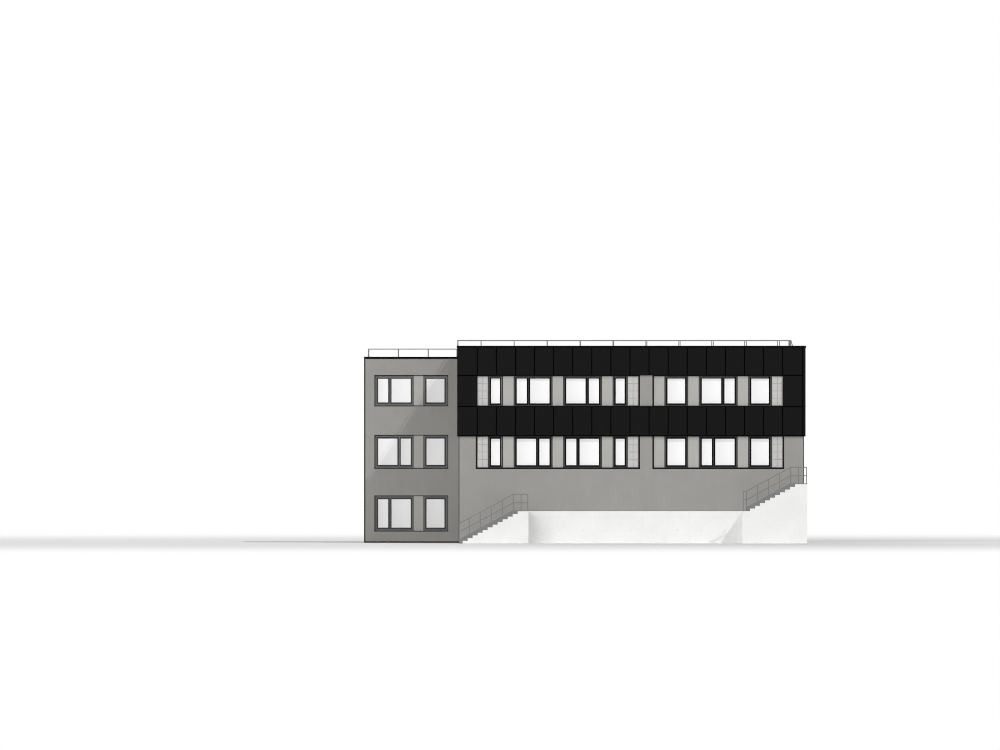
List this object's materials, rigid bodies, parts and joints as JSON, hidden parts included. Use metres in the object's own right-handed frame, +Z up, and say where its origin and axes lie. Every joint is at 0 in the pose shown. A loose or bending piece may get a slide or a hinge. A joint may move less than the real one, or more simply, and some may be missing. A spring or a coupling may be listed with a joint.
{
  "type": "school building",
  "caption": "Flat-roofed school building with a set-back rendered wing, a black-clad main block with ribbon windows, roof guard rails and outdoor stairs.",
  "frame": {"origin": "centre of the outline at the lowest ground", "axes": "+X along the front to the right, +Y from the front to the back, +Z up"},
  "size_m": [25.44, 15.935, 11.67],
  "materials": {
    "plaster": "fine rendered plaster, matt",
    "concrete": "fair-faced concrete, matt",
    "pale_render": "smooth pale render",
    "cladding": "black coated cassettes, satin",
    "coping": "black coated sheet, satin",
    "surround": "dark grey coated sheet, satin",
    "window_frame": "dark grey powder coat",
    "glass": "clear glazing",
    "screen": "pale embossed sheet",
    "floor": "concrete floor",
    "roofing": "grey roofing membrane and gravel",
    "rail": "galvanised steel",
    "stair_steel": "grey coated steel"
  },
  "bodies": {
    "root": {"main_front_wall": "plaster", "main_back_wall": "plaster", "main_right_wall": "plaster", "main_left_wall": "plaster", "wing_front_wall": "plaster", "wing_back_wall": "plaster", "wing_party_wall": "plaster", "front_foundation": "concrete", "back_foundation": "concrete", "right_foundation": "concrete", "left_stair": "concrete", "right_stair": "concrete", "main_floors": "floor", "wing_floors": "floor", "main_roof": "roofing", "wing_roof": "roofing", "main_coping": "coping", "wing_coping": "coping", "front_cladding": "cladding", "back_cladding": "cladding", "right_cladding": "cladding", "left_cladding": "cladding", "band_surrounds": "surround", "band_screens": "screen", "front_piers": "pale_render", "back_piers": "pale_render", "right_piers": "pale_render", "wing_piers": "pale_render", "front_windows": "window_frame", "back_windows": "window_frame", "right_windows": "window_frame", "wing_front_windows": "window_frame", "wing_back_windows": "window_frame", "front_glass": "glass", "back_glass": "glass", "right_glass": "glass", "wing_front_glass": "glass", "wing_back_glass": "glass", "main_front_rail": "rail", "main_back_rail": "rail", "main_right_rail": "rail", "main_left_rail": "rail", "wing_front_rail": "rail", "wing_back_rail": "rail", "wing_party_rail": "rail", "left_stair_string": "stair_steel", "right_stair_string": "stair_steel", "left_stair_railing": "stair_steel", "right_stair_railing": "stair_steel"}
  },
  "joints": []
}
